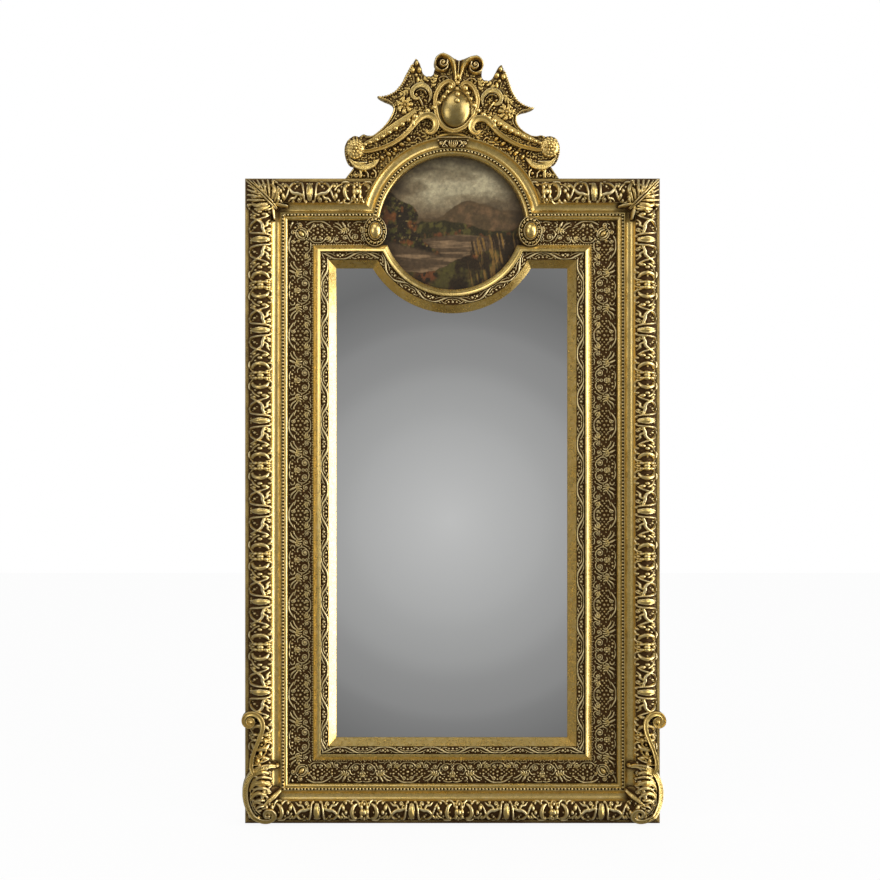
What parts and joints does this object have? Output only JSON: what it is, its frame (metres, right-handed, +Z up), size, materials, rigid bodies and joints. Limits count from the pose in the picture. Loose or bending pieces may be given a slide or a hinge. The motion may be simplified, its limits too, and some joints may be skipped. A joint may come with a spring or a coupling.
{
  "type": "trumeau mirror",
  "caption": "Tall gilt wall mirror with nested mitred frames, a round picture set in its head and a carved crest; hangs from swinging rings on its back.",
  "frame": {"origin": "middle of the frame's bottom edge, on the wall plane", "axes": "+X to the right seen from the front, +Y back into the wall, +Z up"},
  "size_m": [1.002, 0.1, 1.8472],
  "materials": {
    "gilt_wood": "carved wood and gesso, gilt, with brown patina in the hollows",
    "silvered_glass": "polished, silvered on the back",
    "picture": "oil paint on a thin panel, varnished",
    "hardboard": "smooth brown board",
    "bare_wood": "planed softwood",
    "zinc_steel": "zinc plated, dull",
    "brass_hardware": "brass plated, slightly tarnished"
  },
  "bodies": {
    "frame": {"arch_moulding": "gilt_wood", "cabochons": "gilt_wood", "cartouche_rim": "gilt_wood", "cartouche_shield": "gilt_wood", "corner_braces": "zinc_steel", "corner_leaf_bottom_left": "gilt_wood", "corner_leaf_bottom_right": "gilt_wood", "corner_leaf_top_left": "gilt_wood", "corner_leaf_top_right": "gilt_wood", "crest_board": "bare_wood", "crest_scroll_left": "gilt_wood", "crest_scroll_right": "gilt_wood", "crest_shoulder_left": "gilt_wood", "crest_shoulder_right": "gilt_wood", "crown_middle": "gilt_wood", "crown_volute_left": "gilt_wood", "crown_volute_right": "gilt_wood", "crown_wing_left": "gilt_wood", "crown_wing_right": "gilt_wood", "filigree_bands": "gilt_wood", "garland": "gilt_wood", "glass_battens": "bare_wood", "hanger_straps": "brass_hardware", "keystone": "gilt_wood", "leaf_band": "gilt_wood", "liner_arc": "gilt_wood", "liner_rail_bottom": "gilt_wood", "liner_rail_top_left": "gilt_wood", "liner_rail_top_right": "gilt_wood", "liner_stile_left": "gilt_wood", "liner_stile_right": "gilt_wood", "medallion_left": "gilt_wood", "medallion_right": "gilt_wood", "mending_plates": "zinc_steel", "mirror_back_board": "hardboard", "mirror_glass": "silvered_glass", "outer_beads": "gilt_wood", "outer_rail_bottom": "gilt_wood", "outer_rail_top_left": "gilt_wood", "outer_rail_top_right": "gilt_wood", "outer_stile_left": "gilt_wood", "outer_stile_right": "gilt_wood", "painting": "picture", "panel_beads": "gilt_wood", "panel_corners": "gilt_wood", "panel_rail_bottom": "gilt_wood", "panel_rail_top_left": "gilt_wood", "panel_rail_top_right": "gilt_wood", "panel_stile_left": "gilt_wood", "panel_stile_right": "gilt_wood", "rosette_left": "gilt_wood", "rosette_right": "gilt_wood", "roundel_board": "bare_wood", "screws": "zinc_steel", "scroll_bands": "gilt_wood", "side_volute_left": "gilt_wood", "side_volute_right": "gilt_wood"},
    "ring_left": {"hanging_ring_left": "brass_hardware"},
    "ring_right": {"hanging_ring_right": "brass_hardware"}
  },
  "joints": [
    {"name": "left_ring_swing", "type": "hinge", "parent": "frame", "child": "ring_left", "pos_m": [-0.448, -0.0079, 1.29], "axis": [1, 0, 0], "range_deg": [0, 175]},
    {"name": "right_ring_swing", "type": "hinge", "parent": "frame", "child": "ring_right", "pos_m": [0.448, -0.0079, 1.29], "axis": [1, 0, 0], "range_deg": [0, 175]}
  ]
}
